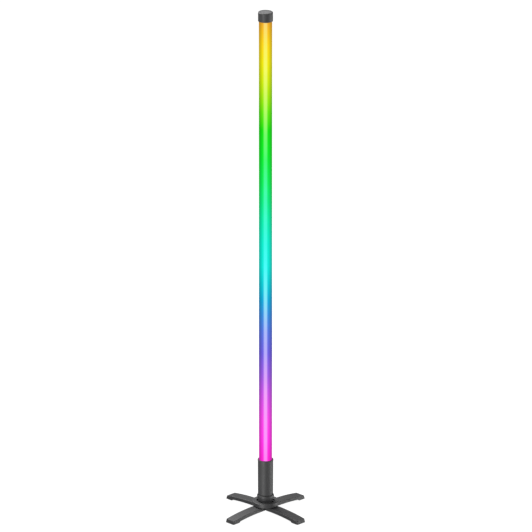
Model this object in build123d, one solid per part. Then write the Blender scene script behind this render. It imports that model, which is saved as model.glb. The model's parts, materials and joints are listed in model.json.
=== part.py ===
"""LED light tube on an X-shaped floor base, built as one assembly of separate pieces.

Millimetres, +Z up along the tube, the front towards -Y, and the legs on the diagonals between X and Y.
The origin is on the floor under the tube's axis.
"""

from build123d import *
import math
import os

os.makedirs("parts", exist_ok=True)

# ---- driving dimensions ----
TOTAL_H = 1219.0  # a 48 inch tube lamp, floor to the top of the cap

# light tube
TUBE_OD = 30.4
TUBE_WALL = 1.7
TUBE_BOTTOM = 100.0
TUBE_TOP = 1212.0

# top cap
CAP_OD = 34.2
CAP_H = 21.4
CAP_ROOF = 5.1
INLAY_D = 25.4
INLAY_T = 1.0
INLAY_SINK = 0.35

# lower sleeve (the housing that carries the electronics)
SLEEVE_TOP = 129.5
SLEEVE_TOP_OD = 36.0
SLEEVE_LOW_OD = 35.3
SLEEVE_RIM_OD = 36.7
SLEEVE_RIM_H = 2.6
SLEEVE_SHOULDER = 44.2
SLEEVE_NECK_OD = 33.0
SLEEVE_BOTTOM = 32.0
SLEEVE_BORE = 30.6
SLEEVE_NECK_BORE = 28.6
STOP_BORE = 27.0
STOP_LOW = 94.0
STOP_HIGH = 97.4

# spigot that plugs into the base
SPIGOT_OD = 30.0
SPIGOT_BOTTOM = 18.6
SPIGOT_WALL = 2.2
KEY_W = 3.0
KEY_OUT = 1.2
PLUG_SCREW_Z = 37.0

# base socket cup
CUP_OD = 40.0
CUP_RIM = 42.3
CUP_MOUTH = 33.6
CUP_BORE = 30.1
CUP_FLOOR = 18.1
CUP_NECK_OD = 34.0
CUP_FLANGE_OD = 40.0
CUP_FLANGE_T = 3.0
CUP_BULGE = 37.6
CUP_WAIST_OD = 36.8
CUP_WAIST = 30.4

# hub disc
HUB_OD = 62.6
HUB_LOW = 15.9
HUB_TOP = 26.8
HUB_UNDERCUT = 1.9
HUB_WELL_D = 41.4
HUB_WELL_FLOOR = 22.4

# arched legs
LEG_W = 26.8
LEG_T = 7.9
LEG_REACH = 118.4
LEG_FLAT = 30.0
ARCH_R = 530.0
TIP_ROUND = 2.5
TIP_LEAN = 2.7
FOOT_IN = 98.0
FOOT_LOW = 1.0
PAD_SINK = 0.8

# fasteners under the hub
HUB_SCREW_R = 25.0
HUB_SCREW_D = 2.9
PLATE_W = 20.0
PLATE_L = 59.6
PLATE_T = 2.0

# light engine
CARRIER_W = 20.4
CARRIER_BOTTOM = 103.0
CARRIER_TOP = 1209.0
WEB_T = 2.0
FLANGE_T = 1.2
FLANGE_H = 5.2
STRIP_W = 12.0
STRIP_T = 1.0
STRIP_BOTTOM = 114.0
STRIP_TOP = 1204.0
CHIP = 5.0
CHIP_T = 1.4
CHIP_COUNT = 64
CHIP_FIRST = 134.0
CHIP_PITCH = 16.85

# electronics in the sleeve
BOARD_W = 22.0
BOARD_T = 1.6
BOARD_Y = 6.0
BOARD_LOW = 48.0
BOARD_HIGH = 92.5
INLET_Z = 57.0
INLET_W = 8.94  # USB-C receptacle shell
INLET_H = 3.26
INLET_FACE = 16.1
BUTTON_Z = (72.5, 86.0)
BUTTON_D = 7.6
BUTTON_HOLE = 8.3
BUTTON_FLANGE = 10.2
BUTTON_PROUD = 0.9
BUTTON_TRAVEL = 0.8

LEG_ANGLES = {"front_left": 225.0, "front_right": 315.0, "rear_left": 135.0, "rear_right": 45.0}


# ---- helpers ----
def rod(diameter, low, high):
    """A solid cylinder on the Z axis from one height to another."""
    return Pos(0, 0, (low + high) / 2) * Cylinder(diameter / 2, high - low)


def ring(outer, inner, low, high):
    """A tube on the Z axis."""
    return rod(outer, low, high) - rod(inner, low - 1, high + 1)


def block(x, y, z):
    """A box between three pairs of limits."""
    size = (x[1] - x[0], y[1] - y[0], z[1] - z[0])
    return Pos((x[0] + x[1]) / 2, (y[0] + y[1]) / 2, (z[0] + z[1]) / 2) * Box(*size)


def turned(points):
    """A solid of revolution from an outline of (radius, height) points."""
    outline = Polyline(*[(r, 0, z) for r, z in points], close=True)
    return revolve(make_face(outline), Axis.Z, 360)


def y_rod(diameter, y_low, y_high, x, z):
    """A solid cylinder along Y."""
    lying = Rot(90, 0, 0) * Cylinder(diameter / 2, y_high - y_low)
    return Pos(x, (y_low + y_high) / 2, z) * lying


def lying_slot(width, height, y_low, y_high):
    """A solid with a round-ended outline, extruded along Y."""
    outline = Plane.XZ * SlotOverall(width, height)
    return Pos(0, y_high, 0) * extrude(outline, y_high - y_low)


def near(edges, height, spread=0.01):
    """The edges whose centre is at one height."""
    return edges.filter_by(lambda e: abs(e.center().Z - height) < spread)


def export(shape, node):
    """Write one named piece."""
    export_step(shape, "parts/" + node + ".step")


# ---- base ----
def arch_height(radius, r):
    """Height of the arch of one radius at a distance from the hub's axis."""
    centre_z = HUB_LOW - ARCH_R
    return centre_z + math.sqrt(radius**2 - (r - LEG_FLAT) ** 2)


def half_bar_outline():
    """Side outline of one leg, from the hub's axis to the tip."""
    under_r = ARCH_R - LEG_T
    tip_top = LEG_REACH - TIP_LEAN
    mid_top = (LEG_FLAT + tip_top) / 2
    heel = FOOT_IN - 3.0
    mid_low = (LEG_FLAT + heel) / 2
    top_line = Line((0, HUB_LOW), (LEG_FLAT, HUB_LOW))
    top_arc = ThreePointArc(
        (LEG_FLAT, HUB_LOW),
        (mid_top, arch_height(ARCH_R, mid_top)),
        (tip_top, arch_height(ARCH_R, tip_top)),
    )
    end_lines = Polyline(
        (tip_top, arch_height(ARCH_R, tip_top)),
        (LEG_REACH, FOOT_LOW),
        (FOOT_IN + 1.0, FOOT_LOW),
        (heel, arch_height(under_r, heel)),
    )
    low_arc = ThreePointArc(
        (heel, arch_height(under_r, heel)),
        (mid_low, arch_height(under_r, mid_low)),
        (LEG_FLAT, HUB_LOW - LEG_T),
    )
    close_lines = Polyline((LEG_FLAT, HUB_LOW - LEG_T), (0, HUB_LOW - LEG_T), (0, HUB_LOW))
    return make_face(top_line + top_arc + end_lines + low_arc + close_lines)


def leg_bar():
    """One arched bar with two feet, lying along X."""
    half = extrude(Plane.XZ * half_bar_outline(), LEG_W / 2, both=True)
    bar = half + mirror(half, about=Plane.YZ)
    corners = bar.edges().filter_by(lambda e: abs(e.center().X) > LEG_REACH - 3)
    corners = corners.filter_by(lambda e: abs(e.center().Y) > LEG_W / 2 - 1)
    bar = fillet(corners, TIP_ROUND)
    rims = bar.faces().filter_by(lambda f: f.normal_at(f.center()).Z > 0.9).edges()
    outer = rims.filter_by(lambda e: abs(e.center().Y) > 1 or abs(e.center().X) > LEG_REACH - 8)
    bar = fillet(outer, 1.3)
    for side in (-1, 1):
        sunk = extrude(pad_outline(0.15), PAD_SINK)
        bar -= Pos(side * (FOOT_IN + LEG_REACH) / 2, 0, FOOT_LOW) * sunk
        bar -= Pos(side * HUB_SCREW_R, 0, 0) * rod(HUB_SCREW_D + 0.5, 0, 20)
    return bar


def pad_outline(grow=0.0):
    """Plan outline of a foot pad, a little smaller than the foot above it."""
    length = LEG_REACH - FOOT_IN - 4.4 + 2 * grow
    width = LEG_W - 5.0 + 2 * grow
    return RectangleRounded(length, width, 2.6 + grow)


def crossed_bars():
    """The two bars, half lapped where they cross."""
    middle = HUB_LOW - LEG_T / 2
    notch = LEG_W / 2 + 0.1
    above = block((-notch, notch), (-20, 20), (middle, 20))
    below = block((-notch, notch), (-20, 20), (0, middle))
    lower = Rot(0, 0, 45) * (leg_bar() - above)
    upper = Rot(0, 0, 135) * (leg_bar() - below)
    return lower, upper


def foot_pad(angle):
    """A rubber pad let into the underside of one foot."""
    pad = extrude(pad_outline(), FOOT_LOW + PAD_SINK)
    pad = fillet(near(pad.edges(), 0), 0.5)
    return Rot(0, 0, angle) * Pos((FOOT_IN + LEG_REACH) / 2, 0, 0) * pad


def hub_disc():
    """Round hub clamped over the bars, with a well around the socket cup."""
    disc = rod(HUB_OD, HUB_LOW, HUB_TOP)
    disc = fillet(near(disc.edges(), HUB_TOP), 1.8)
    disc = chamfer(near(disc.edges(), HUB_LOW), HUB_UNDERCUT)
    disc -= rod(HUB_WELL_D, HUB_WELL_FLOOR, HUB_TOP + 1)
    disc -= rod(CUP_NECK_OD + 0.3, HUB_LOW - 1, HUB_TOP)
    disc -= rod(CUP_FLANGE_OD + 0.4, HUB_LOW - 1, HUB_LOW + CUP_FLANGE_T + 0.05)
    mouth = disc.edges().filter_by(GeomType.CIRCLE)
    mouth = mouth.filter_by(lambda e: abs(e.radius - HUB_WELL_D / 2) < 0.01)
    disc = fillet(near(mouth, HUB_TOP), 0.8)
    for angle in LEG_ANGLES.values():
        hole = Pos(HUB_SCREW_R, 0, 0) * rod(HUB_SCREW_D, HUB_LOW - 1, HUB_LOW + 7.6)
        disc -= Rot(0, 0, angle) * hole
    return disc


def socket_cup():
    """Cup that the tube plugs into: a rounded collar on a neck, with a flange under the hub."""
    outer = CUP_OD / 2
    waist = CUP_WAIST_OD / 2
    neck = CUP_NECK_OD / 2
    flange = CUP_FLANGE_OD / 2
    flange_top = HUB_LOW + CUP_FLANGE_T
    lip = CUP_MOUTH / 2 + 1.5
    side = Polyline((0, HUB_LOW), (flange, HUB_LOW), (flange, flange_top), (neck, flange_top), (neck, 27.4))
    side += ThreePointArc((neck, 27.4), (neck + 0.4, CUP_WAIST - 1.2), (waist, CUP_WAIST))
    side += Line((waist, CUP_WAIST), (outer, CUP_BULGE))
    side += ThreePointArc((outer, CUP_BULGE), (outer - 0.45, CUP_RIM - 2.0), (lip, CUP_RIM))
    side += Polyline((lip, CUP_RIM), (0, CUP_RIM), (0, HUB_LOW))
    cup = revolve(Plane.XZ * make_face(side), Axis.Z, 360)
    cup = fillet(near(cup.edges(), CUP_BULGE), 1.5)
    cup -= rod(CUP_BORE, CUP_FLOOR, CUP_RIM + 1)
    cup -= rod(CUP_MOUTH, SLEEVE_BOTTOM, CUP_RIM + 1)
    lips = cup.edges().filter_by(GeomType.CIRCLE)
    lips = lips.filter_by(lambda e: abs(e.radius - CUP_MOUTH / 2) < 0.01)
    cup = chamfer(near(lips, CUP_RIM), 0.6)
    keyway = block((0, SPIGOT_OD / 2 + KEY_OUT + 0.4), (-KEY_W / 2 - 0.3, KEY_W / 2 + 0.3), (25.4, 33))
    return cup - keyway


def under_plate():
    """Steel cross under the bars that the hub screws pull against."""
    low = HUB_LOW - LEG_T - PLATE_T
    one = Box(PLATE_L, PLATE_W, PLATE_T)
    plate = one + Rot(0, 0, 90) * one
    plate = Pos(0, 0, low + PLATE_T / 2) * plate
    ends = plate.edges().filter_by(Axis.Z)
    ends = ends.filter_by(lambda e: math.hypot(e.center().X, e.center().Y) > PLATE_L / 2)
    plate = fillet(ends, 3.0)
    for turn in range(4):
        seat = Pos(HUB_SCREW_R, 0, low + 0.8) * Cone(2.95, 1.55, 1.6)
        seat += Pos(HUB_SCREW_R, 0, 0) * rod(3.2, low - 1, low + 4)
        plate -= Rot(0, 0, 90 * turn) * seat
    return Rot(0, 0, 45) * plate


def hub_screw():
    """One countersunk screw, head down, at the hub screw radius on X."""
    low = HUB_LOW - LEG_T - PLATE_T
    head = Pos(0, 0, low + 0.8) * Cone(2.8, HUB_SCREW_D / 2, 1.6)
    screw = head + rod(HUB_SCREW_D, low + 1.2, HUB_LOW + 7.2)
    drive = Box(2.6, 0.6, 1.4) + Box(0.6, 2.6, 1.4)
    return Pos(HUB_SCREW_R, 0, 0) * (screw - Pos(0, 0, low + 0.3) * drive)


def hub_screws():
    """The four screws that clamp plate, bars and hub together."""
    one = hub_screw()
    return Compound(children=[Rot(0, 0, angle) * one for angle in LEG_ANGLES.values()])


# ---- tube body ----
def sleeve_radius(z):
    """Outer radius of the tapered sleeve at a height."""
    share = (z - SLEEVE_SHOULDER) / (SLEEVE_TOP - SLEEVE_SHOULDER)
    return (SLEEVE_LOW_OD + share * (SLEEVE_TOP_OD - SLEEVE_LOW_OD)) / 2


def sleeve():
    """Tapered housing: neck below, rim above, an inner stop for the tube, holes at the back."""
    rim_low = SLEEVE_TOP - SLEEVE_RIM_H
    body = turned(
        [
            (0, SLEEVE_BOTTOM),
            (SLEEVE_NECK_OD / 2 - 0.4, SLEEVE_BOTTOM),
            (SLEEVE_NECK_OD / 2, SLEEVE_BOTTOM + 0.4),
            (SLEEVE_NECK_OD / 2, SLEEVE_SHOULDER),
            (SLEEVE_LOW_OD / 2 - 0.3, SLEEVE_SHOULDER),
            (SLEEVE_LOW_OD / 2, SLEEVE_SHOULDER + 0.4),
            (sleeve_radius(rim_low), rim_low),
            (SLEEVE_RIM_OD / 2, rim_low + 0.2),
            (SLEEVE_RIM_OD / 2, SLEEVE_TOP - 0.6),
            (SLEEVE_RIM_OD / 2 - 0.5, SLEEVE_TOP),
            (0, SLEEVE_TOP),
        ]
    )
    body -= rod(SLEEVE_NECK_BORE, SLEEVE_BOTTOM - 1, 47.0)
    body -= rod(SLEEVE_BORE, 46.6, STOP_LOW)
    body -= rod(STOP_BORE, STOP_LOW - 1, STOP_HIGH + 1)
    body -= rod(SLEEVE_BORE, STOP_HIGH, SLEEVE_TOP + 1)
    body -= rod(32.9, SLEEVE_TOP - 5.4, SLEEVE_TOP - 3.0)
    for z in BUTTON_Z:
        body -= y_rod(BUTTON_HOLE, 10, 20, 0, z)
        body -= y_rod(BUTTON_HOLE + 2.4, sleeve_radius(z) - 0.35, 20, 0, z)
    body -= Pos(0, 0, INLET_Z) * lying_slot(INLET_W + 0.5, INLET_H + 0.5, 10, 20)
    body -= Pos(0, 0, INLET_Z) * lying_slot(12.8, 7.2, INLET_FACE, 20)
    for side in (-1, 1):
        body -= Pos(side * 15, 0, PLUG_SCREW_Z) * Rot(0, 90, 0) * Cylinder(1.05, 6)
        body -= Pos(side * 15.6, 0, PLUG_SCREW_Z) * Rot(0, 90 * side, 0) * Cone(1.1, 2.4, 1.3)
        body -= Pos(side * 17.2, 0, PLUG_SCREW_Z) * Rot(0, 90, 0) * Cylinder(2.4, 2.0)
    return body


def spigot_plug():
    """Hollow plug closing the sleeve and standing in the socket, with a key rib and board slot."""
    plug = rod(SPIGOT_OD, SPIGOT_BOTTOM, SLEEVE_BOTTOM)
    plug = chamfer(near(plug.edges(), SPIGOT_BOTTOM), 0.9)
    plug += rod(SLEEVE_NECK_BORE - 0.1, SLEEVE_BOTTOM - 0.5, 46.0)
    plug -= rod(SPIGOT_OD - 2 * SPIGOT_WALL - 1.6, SPIGOT_BOTTOM + 2.2, 47)
    rib = block((SPIGOT_OD / 2 - 0.6, SPIGOT_OD / 2 + KEY_OUT), (-KEY_W / 2, KEY_W / 2), (26, 31.4))
    plug += rib
    cradle = block((-12.2, 12.2), (BOARD_Y - 2.2, BOARD_Y + BOARD_T + 2.2), (41, 50.4))
    cradle &= rod(SLEEVE_NECK_BORE - 0.6, 40, 51)
    cradle -= block((-11.1, 11.1), (BOARD_Y - 0.05, BOARD_Y + BOARD_T + 0.05), (BOARD_LOW, 51))
    plug += cradle
    for side in (-1, 1):
        plug -= Pos(side * 13, 0, PLUG_SCREW_Z) * Rot(0, 90, 0) * Cylinder(0.95, 7)
    return plug


def plug_screws():
    """Two small countersunk screws through the sleeve's neck into the plug."""
    screws = []
    for side in (-1, 1):
        body = Pos(side * 14.0, 0, PLUG_SCREW_Z) * Rot(0, 90, 0) * Cylinder(0.95, 4.0)
        head = Pos(side * 15.6, 0, PLUG_SCREW_Z) * Rot(0, 90 * side, 0) * Cone(0.95, 2.15, 1.2)
        slot = Pos(side * 16.2, 0, PLUG_SCREW_Z) * Box(0.9, 2.4, 0.5)
        screws.append(body + head - slot)
    return Compound(children=screws)


def sleeve_gasket():
    """Soft ring in the sleeve's inner groove that seals on the tube."""
    return ring(32.7, TUBE_OD + 0.05, SLEEVE_TOP - 5.3, SLEEVE_TOP - 3.1)


def diffuser_tube():
    """The milky tube."""
    return ring(TUBE_OD, TUBE_OD - 2 * TUBE_WALL, TUBE_BOTTOM, TUBE_TOP)


def carrier_slot(low, high):
    """The space an end plug leaves for the light carrier."""
    half = CARRIER_W / 2 + 0.15
    web = block((-half, half), (-WEB_T / 2 - 0.1, WEB_T / 2 + 0.1), (low, high))
    depth = FLANGE_H / 2 + 0.15
    for side in (-1, 1):
        a = side * (CARRIER_W / 2 - FLANGE_T - 0.15)
        b = side * half
        web += block((min(a, b), max(a, b)), (-depth, depth), (low, high))
    return web


def bottom_plug():
    """Inner plug at the tube's lower end, open front and back for the leads."""
    plug = rod(SLEEVE_BORE - 0.2, STOP_HIGH, TUBE_BOTTOM)
    plug += rod(TUBE_OD - 2 * TUBE_WALL - 0.1, TUBE_BOTTOM - 0.5, 112.0)
    plug -= carrier_slot(CARRIER_BOTTOM, 113)
    for side in (-1, 1):
        a = side * 2.2
        b = side * 9.0
        plug -= block((-6.2, 6.2), (min(a, b), max(a, b)), (STOP_HIGH - 1, 113))
    return plug


def top_plug():
    """Inner plug at the tube's upper end, with a hole for the cap screw."""
    inner = TUBE_OD - 2 * TUBE_WALL - 0.1
    plug = rod(inner, 1198.5, TUBE_TOP + 0.5)
    plug += rod(TUBE_OD - 0.2, TUBE_TOP, TUBE_TOP + 1.7)
    plug -= carrier_slot(1197, CARRIER_TOP + 0.05)
    window = STRIP_W / 2 + 0.4
    plug -= block((-window, window), (-4.2, 4.2), (1197, STRIP_TOP + 1.2))
    plug -= rod(2.5, 1209.6, TUBE_TOP + 3)
    return plug


def top_cap():
    """Cap over the tube's upper end, with a shallow round recess on top."""
    low = TOTAL_H - CAP_H
    cap = rod(CAP_OD, low, TOTAL_H)
    cap = fillet(near(cap.edges(), TOTAL_H), 1.8)
    cap = fillet(near(cap.edges(), low), 0.6)
    cap -= rod(TUBE_OD + 0.1, low - 1, TOTAL_H - CAP_ROOF)
    cap -= rod(INLAY_D + 0.4, TOTAL_H - INLAY_T - INLAY_SINK, TOTAL_H + 1)
    cap -= rod(3.4, TOTAL_H - CAP_ROOF - 1, TOTAL_H)
    seat = TOTAL_H - INLAY_T - INLAY_SINK
    cap -= Pos(0, 0, seat - 0.8) * Cone(1.7, 3.0, 1.6)
    return cap


def cap_inlay():
    """Thin disc let into the top of the cap."""
    low = TOTAL_H - INLAY_T - INLAY_SINK
    disc = rod(INLAY_D, low, low + INLAY_T)
    return fillet(near(disc.edges(), low + INLAY_T), 0.25)


def cap_screw():
    """Countersunk screw under the inlay, into the top plug."""
    seat = TOTAL_H - INLAY_T - INLAY_SINK
    screw = Pos(0, 0, seat - 0.9) * Cone(1.45, 2.75, 1.5) + rod(2.5, 1210.2, seat - 1.2)
    drive = Box(2.4, 0.6, 1.2) + Box(0.6, 2.4, 1.2)
    return screw - Pos(0, 0, seat - 0.2) * drive


def led_carrier():
    """H-section aluminium bar that carries a light strip on each side."""
    half = CARRIER_W / 2
    bar = block((-half, half), (-WEB_T / 2, WEB_T / 2), (CARRIER_BOTTOM, CARRIER_TOP))
    for side in (-1, 1):
        a = side * (half - FLANGE_T)
        b = side * half
        deep = (-FLANGE_H / 2, FLANGE_H / 2)
        bar += block((min(a, b), max(a, b)), deep, (CARRIER_BOTTOM, CARRIER_TOP))
    return bar


def led_strip(side):
    """Flexible circuit strip on one face of the carrier's web."""
    a = side * WEB_T / 2
    b = side * (WEB_T / 2 + STRIP_T)
    return block((-STRIP_W / 2, STRIP_W / 2), (min(a, b), max(a, b)), (STRIP_BOTTOM, STRIP_TOP))


def led_chips(side):
    """The row of square light packages on one strip."""
    a = side * (WEB_T / 2 + STRIP_T)
    b = side * (WEB_T / 2 + STRIP_T + CHIP_T)
    chips = []
    for step in range(CHIP_COUNT):
        z = CHIP_FIRST + step * CHIP_PITCH
        one = block((-CHIP / 2, CHIP / 2), (min(a, b), max(a, b)), (z - CHIP / 2, z + CHIP / 2))
        chips.append(one)
    return Compound(children=chips)


def lead_path(points):
    """Straight runs joined by tangent arcs, each as large as its two runs allow."""
    points = [Vector(*point) for point in points]
    radii = []
    for before, corner, after in zip(points, points[1:], points[2:]):
        come = corner - before
        go = after - corner
        half_turn = math.radians(come.get_angle(go)) / 2
        radii.append(0.45 * min(come.length, go.length) / math.tan(half_turn))
    return FilletPolyline(*points, radius=radii)


def lead_wires(side):
    """Three thin leads from the driver board up to the end of one strip."""
    end_y = side * (WEB_T / 2 + STRIP_T + 0.55)
    if side < 0:
        face = BOARD_Y - 0.65
        route = [(face, 89.4), (face - 0.2, 91.8), (0.4, 94.7), (-4.2, 97.6), (-5.6, 102.4)]
    else:
        face = BOARD_Y + BOARD_T + 0.65
        route = [(face, 89.4), (face - 0.2, 93.4), (6.6, 98.2), (5.5, 103.4)]
    route += [(side * 4.6, 109.4), (end_y, 114.8), (end_y, 119.6)]
    wires = []
    for x in (-3.0, 0.0, 3.0):
        run = lead_path([(x, y, z) for y, z in route])
        wires.append(sweep(Plane(run @ 0, z_dir=run % 0) * Circle(0.5), path=run))
    return Compound(children=wires)


def driver_board():
    """Circuit board standing in the plug's slot."""
    return block((-BOARD_W / 2, BOARD_W / 2), (BOARD_Y, BOARD_Y + BOARD_T), (BOARD_LOW, BOARD_HIGH))


def controller_module():
    """Control chip on its small carrier, on the inner face of the board."""
    base = block((-6.5, 6.5), (BOARD_Y - 0.9, BOARD_Y), (74, 88))
    return base + block((-3.5, 3.5), (BOARD_Y - 2.4, BOARD_Y - 0.9), (77, 84))


def power_coil():
    """Square shielded coil of the power stage."""
    coil = block((-8.6, -1.6), (BOARD_Y - 4.2, BOARD_Y), (64.6, 71.6))
    return fillet(coil.edges().filter_by(Axis.Y), 1.2)


def capacitors():
    """Two round capacitors beside the coil."""
    one = y_rod(6.3, BOARD_Y - 7.6, BOARD_Y, 5.4, 68.2)
    two = y_rod(5.0, BOARD_Y - 6.0, BOARD_Y, 8.0, 60.4)
    return Compound(children=[one, two])


def tact_switches():
    """Two push switches behind the buttons."""
    face = BOARD_Y + BOARD_T
    switches = []
    for z in BUTTON_Z:
        body = block((-3, 3), (face, face + 3.0), (z - 3, z + 3))
        switches.append(body + y_rod(3.4, face + 2.9, face + 3.9, 0, z))
    return Compound(children=switches)


def usb_shell():
    """Metal shell of the upright USB-C power inlet, from the board to the sleeve's back."""
    shell = lying_slot(INLET_W, INLET_H, BOARD_Y + BOARD_T, INLET_FACE)
    shell -= lying_slot(INLET_W - 0.6, INLET_H - 0.6, BOARD_Y + BOARD_T - 1, INLET_FACE + 1)
    return Pos(0, 0, INLET_Z) * shell


def usb_tongue():
    """Insulator at the back of the inlet with its contact tongue."""
    seat = BOARD_Y + BOARD_T + 0.05
    core = lying_slot(INLET_W - 0.65, INLET_H - 0.65, seat, seat + 2.4)
    tongue = block((-3.3, 3.3), (seat + 2.0, INLET_FACE - 1.0), (-0.35, 0.35))
    return Pos(0, 0, INLET_Z) * (core + tongue)


def push_button(z):
    """One button cap: a round face proud of the sleeve, an inner flange and a post."""
    face = sleeve_radius(z) + BUTTON_PROUD
    cap = y_rod(BUTTON_D, 13.2, face, 0, z)
    rim = cap.faces().sort_by(Axis.Y)[-1].edges()
    cap = fillet(rim, 0.7)
    dish = Pos(0, face + 23.55, z) * Sphere(24)
    cap -= dish
    cap += y_rod(BUTTON_FLANGE, 12.6, 13.8, 0, z)
    post_end = BOARD_Y + BOARD_T + 3.9 + BUTTON_TRAVEL + 0.05
    return cap + y_rod(4.0, post_end, 13.0, 0, z)


# ---- write the pieces ----
lower_bar, upper_bar = crossed_bars()
export(lower_bar, "lower_leg_bar")
export(upper_bar, "upper_leg_bar")
for corner_name, corner_angle in LEG_ANGLES.items():
    export(foot_pad(corner_angle), "foot_pad_" + corner_name)
export(hub_disc(), "hub_disc")
export(socket_cup(), "socket_cup")
export(under_plate(), "under_plate")
export(hub_screws(), "hub_screws")

export(sleeve(), "sleeve")
export(spigot_plug(), "spigot_plug")
export(plug_screws(), "plug_screws")
export(sleeve_gasket(), "sleeve_gasket")
export(diffuser_tube(), "diffuser_tube")
export(bottom_plug(), "bottom_plug")
export(top_plug(), "top_plug")
export(top_cap(), "top_cap")
export(cap_inlay(), "cap_inlay")
export(cap_screw(), "cap_screw")
export(led_carrier(), "led_carrier")
export(led_strip(-1), "led_strip_front")
export(led_strip(1), "led_strip_back")
export(led_chips(-1), "led_chips_front")
export(led_chips(1), "led_chips_back")
export(lead_wires(-1), "lead_wires_front")
export(lead_wires(1), "lead_wires_back")
export(driver_board(), "driver_board")
export(controller_module(), "controller_module")
export(power_coil(), "power_coil")
export(capacitors(), "capacitors")
export(tact_switches(), "tact_switches")
export(usb_shell(), "usb_shell")
export(usb_tongue(), "usb_tongue")
export(push_button(BUTTON_Z[0]), "power_button")
export(push_button(BUTTON_Z[1]), "mode_button")
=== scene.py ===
import json
import math

import bmesh
import bpy
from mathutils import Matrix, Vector


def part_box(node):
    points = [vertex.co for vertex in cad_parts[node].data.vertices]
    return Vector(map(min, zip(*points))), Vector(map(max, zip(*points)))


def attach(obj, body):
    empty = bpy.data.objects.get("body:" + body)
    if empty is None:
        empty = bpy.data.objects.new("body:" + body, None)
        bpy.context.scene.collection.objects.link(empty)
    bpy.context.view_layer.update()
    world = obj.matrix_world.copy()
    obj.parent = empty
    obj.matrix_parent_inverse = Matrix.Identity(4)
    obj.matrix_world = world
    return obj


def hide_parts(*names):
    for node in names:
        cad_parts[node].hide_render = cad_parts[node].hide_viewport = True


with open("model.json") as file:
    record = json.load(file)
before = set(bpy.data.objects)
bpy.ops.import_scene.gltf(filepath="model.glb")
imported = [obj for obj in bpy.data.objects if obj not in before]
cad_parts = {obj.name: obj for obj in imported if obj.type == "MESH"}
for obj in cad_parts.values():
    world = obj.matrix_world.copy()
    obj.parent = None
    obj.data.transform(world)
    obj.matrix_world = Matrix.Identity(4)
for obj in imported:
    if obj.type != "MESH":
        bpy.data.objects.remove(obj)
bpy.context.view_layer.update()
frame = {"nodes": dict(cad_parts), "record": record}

MM = 0.001

# ---- camera: a long lens, a little above the lamp's middle ----
CAM_DISTANCE = 14.0
CAM_ELEVATION = math.radians(19.6)
CAM_LENS = 411.25
CAM_SENSOR = 36.0
CAM_CLIP = (0.1, 200.0)
CAM_AIM = Vector((0.00115, 0.0, 0.6066))

# ---- studio: name, centre, aim, size and power in watts ----
# The strips reach below the floor, so that upright plastic mirrors them down to its foot.
STRIP_LEVEL = -0.1
STRIP_SIZE = (0.75, 3.2)
SOFT_BOXES = [
    ("left_box", (-1.45, -2.36, STRIP_LEVEL), (0.0, 0.0, STRIP_LEVEL), STRIP_SIZE, 72.0),
    ("right_box", (2.7, 0.25, STRIP_LEVEL), (0.0, 0.0, STRIP_LEVEL), STRIP_SIZE, 62.0),
    ("top_box", (-1.3, 1.5, 3.2), (0.0, 0.0, 0.0), (2.2, 2.2), 192.0),
]
WHITE = (1.0, 1.0, 1.0, 1.0)
WORLD_STRENGTH = 0.30
FLOOR_REACH = 60.0
FLOOR_GLOW = 0.99

# ---- the milky tube: its ends come from the frame ----
TUBE_WALL = 1.7 * MM
TUBE_ROUND = 0.25 * MM
TUBE_ROWS = 80
TUBE_SIDES = 192
SHARP_ANGLE = math.radians(40)
lit_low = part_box("sleeve")[1].z
lit_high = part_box("top_cap")[0].z
tube_low, tube_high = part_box("diffuser_tube")
tube_radius = tube_high.x

# ---- glow colours, linear, from the foot (0) to the head (1) of the lit length ----
GLOW = [
    (0.00, (1.12, 0.022, 0.72)),
    (0.05, (1.12, 0.042, 0.87)),
    (0.10, (0.99, 0.066, 0.86)),
    (0.15, (0.67, 0.090, 0.85)),
    (0.20, (0.35, 0.115, 0.82)),
    (0.25, (0.17, 0.124, 0.80)),
    (0.30, (0.10, 0.190, 0.80)),
    (0.34, (0.040, 0.29, 0.78)),
    (0.37, (0.008, 0.41, 0.75)),
    (0.41, (0.004, 0.64, 0.71)),
    (0.45, (0.005, 0.85, 0.72)),
    (0.50, (0.004, 0.88, 0.64)),
    (0.55, (0.004, 0.88, 0.44)),
    (0.60, (0.004, 0.89, 0.22)),
    (0.64, (0.004, 0.90, 0.10)),
    (0.70, (0.003, 0.88, 0.025)),
    (0.76, (0.008, 0.83, 0.005)),
    (0.80, (0.135, 0.86, 0.004)),
    (0.83, (0.35, 0.86, 0.004)),
    (0.87, (0.66, 0.86, 0.004)),
    (0.91, (0.92, 0.84, 0.004)),
    (0.95, (1.03, 0.71, 0.009)),
    (0.98, (0.99, 0.56, 0.014)),
    (1.00, (0.94, 0.44, 0.026)),
]
CORE = [
    (0.00, (1.00, 0.24, 0.92)),
    (0.05, (1.00, 0.32, 1.00)),
    (0.15, (0.94, 0.38, 0.98)),
    (0.20, (0.72, 0.39, 0.99)),
    (0.25, (0.50, 0.43, 1.00)),
    (0.30, (0.43, 0.51, 1.00)),
    (0.36, (0.27, 0.77, 1.00)),
    (0.40, (0.17, 0.93, 0.99)),
    (0.45, (0.07, 1.00, 0.98)),
    (0.50, (0.05, 1.00, 0.85)),
    (0.60, (0.06, 1.00, 0.49)),
    (0.69, (0.07, 1.00, 0.19)),
    (0.75, (0.19, 1.00, 0.16)),
    (0.79, (0.41, 1.00, 0.14)),
    (0.85, (0.75, 1.00, 0.14)),
    (0.90, (0.96, 1.00, 0.14)),
    (0.95, (0.98, 0.91, 0.13)),
    (1.00, (1.00, 0.70, 0.18)),
]
# brightness of the glow from the tube's sides (0) to its front and back (1): partly the real fall-off away
# from the front and back light rows, partly painted shade that darkens the round tube toward its sides
ROUNDNESS = [(0.0, 0.52), (0.30, 0.50), (0.44, 0.59), (0.65, 0.66), (0.79, 0.80), (0.90, 0.99), (1.0, 1.0)]
CORE_STARTS, CORE_FULL = 0.930, 0.997
GLOW_STRENGTH = 0.97
GLOW_TINT = (0.02, 0.02, 0.02)

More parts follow.
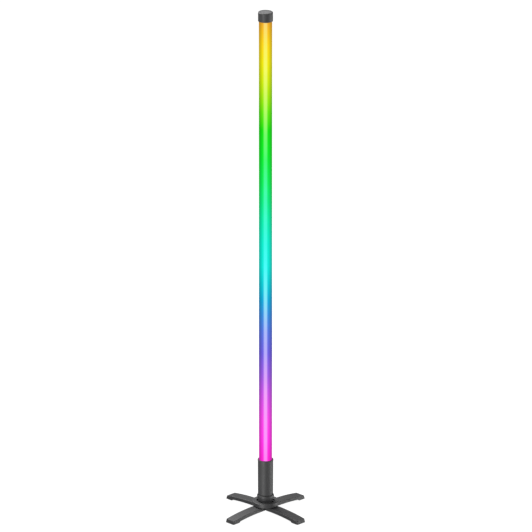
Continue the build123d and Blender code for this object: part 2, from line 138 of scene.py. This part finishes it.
# ---- finishes ----
# nearly all of a noise lies between these two levels
NOISE_LOW, NOISE_HIGH = 0.3, 0.7
# rubbed edges: how far they reach, how strong they are, and how much lighter than the body
EDGE_RADIUS = 1.2 * MM
EDGE_SAMPLES = 6
EDGE_COSINE = 0.86
EDGE_WEAR = 0.35
EDGE_LIGHTER = 1.9
# darkest and lightest colour, and the range of roughness
PLASTICS = {
    # painted shade: leg_plastic and hub_plastic are darker copies of the same charcoal plastic as the
    # sleeve and cap, so that the legs and hub read as lying in shade
    "leg_plastic": ((0.019, 0.019, 0.020), (0.027, 0.027, 0.028), (0.50, 0.62)),
    "hub_plastic": ((0.032, 0.032, 0.033), (0.043, 0.043, 0.044), (0.46, 0.58)),
    "sleeve_plastic": ((0.038, 0.038, 0.039), (0.048, 0.048, 0.049), (0.52, 0.62)),
    "cap_plastic": ((0.038, 0.038, 0.039), (0.048, 0.048, 0.049), (0.52, 0.62)),
    "inlay_plastic": ((0.070, 0.070, 0.072), (0.095, 0.095, 0.098), (0.45, 0.58)),
    "plug_plastic": ((0.012, 0.012, 0.012), (0.020, 0.020, 0.020), (0.42, 0.56)),
    "button_plastic": ((0.022, 0.022, 0.023), (0.032, 0.032, 0.033), (0.30, 0.40)),
}
RUBBERS = {"pad_rubber": 0.012, "seal_rubber": 0.016}
# colour, range of roughness, and how the streaks are stretched along each axis
METALS = {
    "zinc_steel": ((0.52, 0.53, 0.55), (0.28, 0.42), (1.0, 0.08, 1.0)),
    "screw_steel": ((0.48, 0.49, 0.50), (0.28, 0.42), (1.0, 1.0, 1.0)),
    "port_steel": ((0.62, 0.62, 0.63), (0.20, 0.30), (1.0, 1.0, 1.0)),
    "carrier_aluminium": ((0.66, 0.67, 0.69), (0.28, 0.42), (1.0, 1.0, 0.02)),
    "capacitor_can": ((0.50, 0.50, 0.52), (0.28, 0.42), (1.0, 1.0, 1.0)),
}
ELECTRONICS = {
    "strip_board": ((0.75, 0.75, 0.72), (0.40, 0.55)),
    "chip_lens": ((0.80, 0.76, 0.55), (0.10, 0.20)),
    "wire_jacket": ((0.35, 0.02, 0.02), (0.40, 0.55)),
    "driver_laminate": ((0.02, 0.14, 0.05), (0.40, 0.55)),
    "chip_black": ((0.02, 0.02, 0.022), (0.40, 0.55)),
}


# ---- node helpers ----
class Shader:
    """A node material with the few helpers that the recipes below share."""

    def __init__(self, name):
        self.material = bpy.data.materials.new(name)
        self.material.use_nodes = True
        self.tree = self.material.node_tree
        self.principled = self.tree.nodes["Principled BSDF"]
        self.coords = self.tree.nodes.new("ShaderNodeTexCoord")

    def node(self, kind, **settings):
        made = self.tree.nodes.new(kind)
        for key, value in settings.items():
            setattr(made, key, value)
        return made

    def link(self, source, target):
        self.tree.links.new(source, target)

    def feed(self, source, name):
        """Drives one of the surface's own inputs."""
        self.link(source, self.principled.inputs[name])

    def set(self, **values):
        for key, value in values.items():
            self.principled.inputs[key.replace("_", " ")].default_value = value

    def noise(self, scale, detail=2.0, roughness=0.5, stretch=None):
        tex = self.node("ShaderNodeTexNoise")
        tex.inputs["Scale"].default_value = scale
        tex.inputs["Detail"].default_value = detail
        tex.inputs["Roughness"].default_value = roughness
        vector = self.coords.outputs["Object"]
        if stretch:
            mapping = self.node("ShaderNodeMapping")
            mapping.inputs["Scale"].default_value = stretch
            self.link(vector, mapping.inputs["Vector"])
            vector = mapping.outputs["Vector"]
        self.link(vector, tex.inputs["Vector"])
        return tex.outputs["Fac"]

    def ramp(self, source, stops):
        """A straight colour ramp; a stop's colour is a triple or a grey level."""
        ramp = self.node("ShaderNodeValToRGB")
        band = ramp.color_ramp
        while len(band.elements) < len(stops):
            band.elements.new(0.5)
        for element, (place, _) in zip(band.elements, stops):
            element.position = place
        for element, (_, colour) in zip(band.elements, stops):
            rgb = colour if isinstance(colour, tuple) else (colour,) * 3
            element.color = (*rgb, 1.0)
        self.link(source, ramp.inputs["Fac"])
        return ramp.outputs["Color"]

    def remap(self, source, low, high, to_low, to_high, kind="LINEAR"):
        tool = self.node("ShaderNodeMapRange", interpolation_type=kind)
        limits = {"From Min": low, "From Max": high, "To Min": to_low, "To Max": to_high}
        for key, value in limits.items():
            tool.inputs[key].default_value = value
        self.link(source, tool.inputs["Value"])
        return tool.outputs["Result"]

    def math(self, operation, *values):
        tool = self.node("ShaderNodeMath", operation=operation)
        for value, socket in zip(values, tool.inputs):
            if isinstance(value, (int, float)):
                socket.default_value = value
            else:
                self.link(value, socket)
        return tool.outputs["Value"]

    def mix(self, factor, a, b, blend="MIX"):
        tool = self.node("ShaderNodeMix", data_type="RGBA", blend_type=blend)
        first, second = [socket for socket in tool.inputs if socket.type == "RGBA"]
        for value, socket in ((factor, tool.inputs[0]), (a, first), (b, second)):
            if isinstance(value, (int, float)):
                socket.default_value = value
            elif isinstance(value, tuple):
                socket.default_value = (*value, 1.0)
            else:
                self.link(value, socket)
        return [socket for socket in tool.outputs if socket.type == "RGBA"][0]

    def tones(self, noise, low, high):
        """Colours or grey levels that follow a noise."""
        return self.ramp(noise, [(NOISE_LOW, low), (NOISE_HIGH, high)])

    def spread(self, noise, low, high):
        """A value that follows a noise."""
        return self.remap(noise, NOISE_LOW, NOISE_HIGH, low, high)

    def bump(self, layers):
        """Chained bumps: (height source, strength, distance in metres)."""
        normal = None
        for height, strength, distance in layers:
            tool = self.node("ShaderNodeBump")
            tool.inputs["Strength"].default_value = strength
            tool.inputs["Distance"].default_value = distance
            self.link(height, tool.inputs["Height"])
            if normal:
                self.link(normal, tool.inputs["Normal"])
            normal = tool.outputs["Normal"]
        self.feed(normal, "Normal")

    def edges(self):
        """0 on flats and about 1 along convex and concave edges."""
        bevel = self.node("ShaderNodeBevel", samples=EDGE_SAMPLES)
        bevel.inputs["Radius"].default_value = EDGE_RADIUS
        geometry = self.node("ShaderNodeNewGeometry")
        dot = self.node("ShaderNodeVectorMath", operation="DOT_PRODUCT")
        self.link(bevel.outputs["Normal"], dot.inputs[0])
        self.link(geometry.outputs["Normal"], dot.inputs[1])
        return self.remap(dot.outputs["Value"], 1.0, EDGE_COSINE, 0.0, 1.0)


# ---- material recipes ----
def moulded_plastic(name, dark, light, rough):
    """Satin moulded plastic: faint mottling, a fine pebbled grain and slightly rubbed edges."""
    shader = Shader(name)
    mottle = shader.noise(scale=240.0, detail=3.0, roughness=0.55)
    cloud = shader.noise(scale=28.0)
    tone = shader.math("ADD", shader.math("MULTIPLY", mottle, 0.6), shader.math("MULTIPLY", cloud, 0.4))
    body = shader.ramp(tone, [(0.32, dark), (0.68, light)])
    rubbed = shader.math("MULTIPLY", shader.edges(), shader.remap(cloud, 0.35, 0.7, 0.3, 1.0))
    worn = tuple(channel * EDGE_LIGHTER for channel in light)
    shader.feed(shader.mix(shader.math("MULTIPLY", rubbed, EDGE_WEAR), body, worn), "Base Color")
    grain = shader.noise(scale=1500.0, roughness=0.6)
    scuff = shader.noise(scale=90.0, detail=4.0, roughness=0.65)
    shader.feed(shader.spread(scuff, *rough), "Roughness")
    shader.bump([(scuff, 0.06, 0.30 * MM), (grain, 0.5, 0.15 * MM)])
    shader.set(IOR=1.52)
    return shader.material


def glowing_tube():
    """The lit milky tube: colour by height, brighter along the front and back light rows, with painted
    shade darkening its sides.
    """
    shader = Shader("diffuser_glow")
    place = shader.node("ShaderNodeSeparateXYZ")
    shader.link(shader.coords.outputs["Object"], place.inputs["Vector"])
    level = shader.remap(place.outputs["Z"], lit_low, lit_high, 0.0, 1.0)
    glow = shader.ramp(level, GLOW)
    core = shader.ramp(level, CORE)
    # 1 where the wall faces straight forward or back, 0 at the sides
    facing = shader.math("ABSOLUTE", shader.math("DIVIDE", place.outputs["Y"], tube_radius))
    # partly painted shade, partly the real fall-off away from the front and back light rows: the glow is
    # darkened toward the tube's sides
    shaded = shader.mix(1.0, glow, shader.ramp(facing, ROUNDNESS), "MULTIPLY")
    core_share = shader.remap(facing, CORE_STARTS, CORE_FULL, 0.0, 1.0, "SMOOTHSTEP")
    cloud = shader.noise(scale=40.0)
    clouding = shader.tones(cloud, 0.98, 1.0)
    lit = shader.mix(1.0, shader.mix(core_share, shaded, core), clouding, "MULTIPLY")
    shader.feed(lit, "Emission Color")
    shader.feed(shader.mix(1.0, glow, GLOW_TINT, "MULTIPLY"), "Base Color")
    shader.set(Emission_Strength=GLOW_STRENGTH, Specular_IOR_Level=0.03, IOR=1.40)
    shader.feed(shader.spread(cloud, 0.50, 0.58), "Roughness")
    shader.bump([(shader.noise(scale=900.0), 0.05, 0.08 * MM)])
    return shader.material


def rubber(name, tone):
    """Matt black rubber with a pebbled skin."""
    shader = Shader(name)
    cloud = shader.noise(scale=160.0, detail=3.0, roughness=0.6)
    pebble = shader.noise(scale=1400.0, detail=3.0, roughness=0.6)
    shader.feed(shader.tones(cloud, tone * 0.7, tone * 1.4), "Base Color")
    shader.feed(shader.spread(cloud, 0.75, 0.9), "Roughness")
    shader.bump([(pebble, 0.4, 0.10 * MM)])
    return shader.material


def metal(name, colour, rough, stretch):
    """Bare metal with fine streaks along its drawn or turned direction."""
    shader = Shader(name)
    streak = shader.noise(scale=600.0, detail=3.0, roughness=0.6, stretch=stretch)
    cloud = shader.noise(scale=70.0)
    dull = tuple(channel * 0.85 for channel in colour)
    shader.feed(shader.tones(cloud, dull, colour), "Base Color")
    shader.feed(shader.spread(streak, *rough), "Roughness")
    shader.set(Metallic=1.0)
    shader.bump([(streak, 0.15, 0.05 * MM)])
    return shader.material


def electronics(name, colour, rough):
    """Hidden electronics: a base colour with slight variation."""
    shader = Shader(name)
    cloud = shader.noise(scale=300.0)
    dull = tuple(channel * 0.8 for channel in colour)
    shader.feed(shader.tones(cloud, dull, colour), "Base Color")
    shader.feed(shader.spread(cloud, *rough), "Roughness")
    shader.bump([(cloud, 0.1, 0.05 * MM)])
    return shader.material


def floor_white():
    """Plain white that glows by itself, so that the floor shows no shadow."""
    shader = Shader("floor_white")
    shader.feed(shader.tones(shader.noise(scale=2.0), 0.09, 0.10), "Base Color")
    shader.set(Roughness=0.9, Specular_IOR_Level=0.0, Emission_Color=WHITE, Emission_Strength=FLOOR_GLOW)
    return shader.material


def make_materials():
    """One material for each of the record's material slots."""
    made = {"diffuser": glowing_tube()}
    for name, (dark, light, rough) in PLASTICS.items():
        made[name] = moulded_plastic(name, dark, light, rough)
    for name, tone in RUBBERS.items():
        made[name] = rubber(name, tone)
    for name, (colour, rough, stretch) in METALS.items():
        made[name] = metal(name, colour, rough, stretch)
    for name, (colour, rough) in ELECTRONICS.items():
        made[name] = electronics(name, colour, rough)
    return made


# ---- pieces ----
def paint_cad_nodes(materials):
    """Gives every CAD node the material of its slot."""
    for part in frame["record"]["subparts"]:
        node = frame["nodes"][part["node"]]
        node.data.materials.clear()
        node.data.materials.append(materials[part["material_slot"]])


def lathe(name, outline):
    """A turned piece from a closed outline of (radius, height) points in metres."""
    mesh = bmesh.new()
    rings = []
    for radius, height in outline:
        ring = []
        for side in range(TUBE_SIDES):
            turn = 2 * math.pi * side / TUBE_SIDES
            ring.append(mesh.verts.new((radius * math.cos(turn), radius * math.sin(turn), height)))
        rings.append(ring)
    for low, high in zip(rings, rings[1:] + rings[:1]):
        for side in range(TUBE_SIDES):
            after = (side + 1) % TUBE_SIDES
            mesh.faces.new((low[side], low[after], high[after], high[side]))
    bmesh.ops.recalc_face_normals(mesh, faces=mesh.faces)
    data = bpy.data.meshes.new(name)
    mesh.to_mesh(data)
    mesh.free()
    for face in data.polygons:
        face.use_smooth = True
    data.set_sharp_from_angle(angle=SHARP_ANGLE)
    piece = bpy.data.objects.new(name, data)
    bpy.context.scene.collection.objects.link(piece)
    return piece


def make_diffuser(materials):
    """The milky tube in rings, with rounded ends, in place of its plain CAD node."""
    outer, inner = tube_radius, tube_radius - TUBE_WALL
    low, high = tube_low.z, tube_high.z
    outline = [(inner + TUBE_ROUND, low), (outer - TUBE_ROUND, low), (outer, low + TUBE_ROUND)]
    outline += [(outer, low + (high - low) * row / TUBE_ROWS) for row in range(1, TUBE_ROWS)]
    outline += [(outer, high - TUBE_ROUND), (outer - TUBE_ROUND, high)]
    outline += [(inner + TUBE_ROUND, high), (inner, high - TUBE_ROUND), (inner, low + TUBE_ROUND)]
    piece = lathe("diffuser_shell", outline)
    piece.data.materials.append(materials["diffuser"])
    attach(piece, "tube")
    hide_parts("diffuser_tube")


# ---- studio ----
def make_floor():
    reach = FLOOR_REACH
    corners = [(-reach, -reach, 0), (reach, -reach, 0), (reach, reach, 0), (-reach, reach, 0)]
    data = bpy.data.meshes.new("floor")
    data.from_pydata(corners, [], [(0, 1, 2, 3)])
    data.materials.append(floor_white())
    floor = bpy.data.objects.new("floor", data)
    bpy.context.scene.collection.objects.link(floor)
    # the lit white floor is seen, but its light doesn't wash out the dark plastics
    floor.visible_diffuse = False
    floor.visible_glossy = False
    floor.visible_shadow = False


def area_light(name, place, aim, size, power):
    data = bpy.data.lights.new(name, "AREA")
    data.shape = "RECTANGLE"
    data.size, data.size_y = size
    data.energy = power
    lamp = bpy.data.objects.new(name, data)
    bpy.context.scene.collection.objects.link(lamp)
    lamp.location = place
    lamp.rotation_mode = "QUATERNION"
    lamp.rotation_quaternion = (Vector(aim) - Vector(place)).to_track_quat("-Z", "Y")


def make_light():
    world = bpy.data.worlds.new("studio")
    bpy.context.scene.world = world
    world.use_nodes = True
    back = world.node_tree.nodes["Background"]
    back.inputs["Color"].default_value = WHITE
    back.inputs["Strength"].default_value = WORLD_STRENGTH
    for box in SOFT_BOXES:
        area_light(*box)


def make_camera():
    data = bpy.data.cameras.new("camera")
    data.lens = CAM_LENS
    data.sensor_width = CAM_SENSOR
    data.clip_start, data.clip_end = CAM_CLIP
    camera = bpy.data.objects.new("camera", data)
    bpy.context.scene.collection.objects.link(camera)
    back = Vector((0.0, -math.cos(CAM_ELEVATION), math.sin(CAM_ELEVATION)))
    camera.location = CAM_AIM + back * CAM_DISTANCE
    camera.rotation_mode = "QUATERNION"
    camera.rotation_quaternion = (-back).to_track_quat("-Z", "Y")
    bpy.context.scene.camera = camera


materials = make_materials()
paint_cad_nodes(materials)
make_diffuser(materials)
make_floor()
make_light()
make_camera()
bpy.context.scene.view_settings.view_transform = "Standard"
bpy.context.scene.view_settings.look = "None"
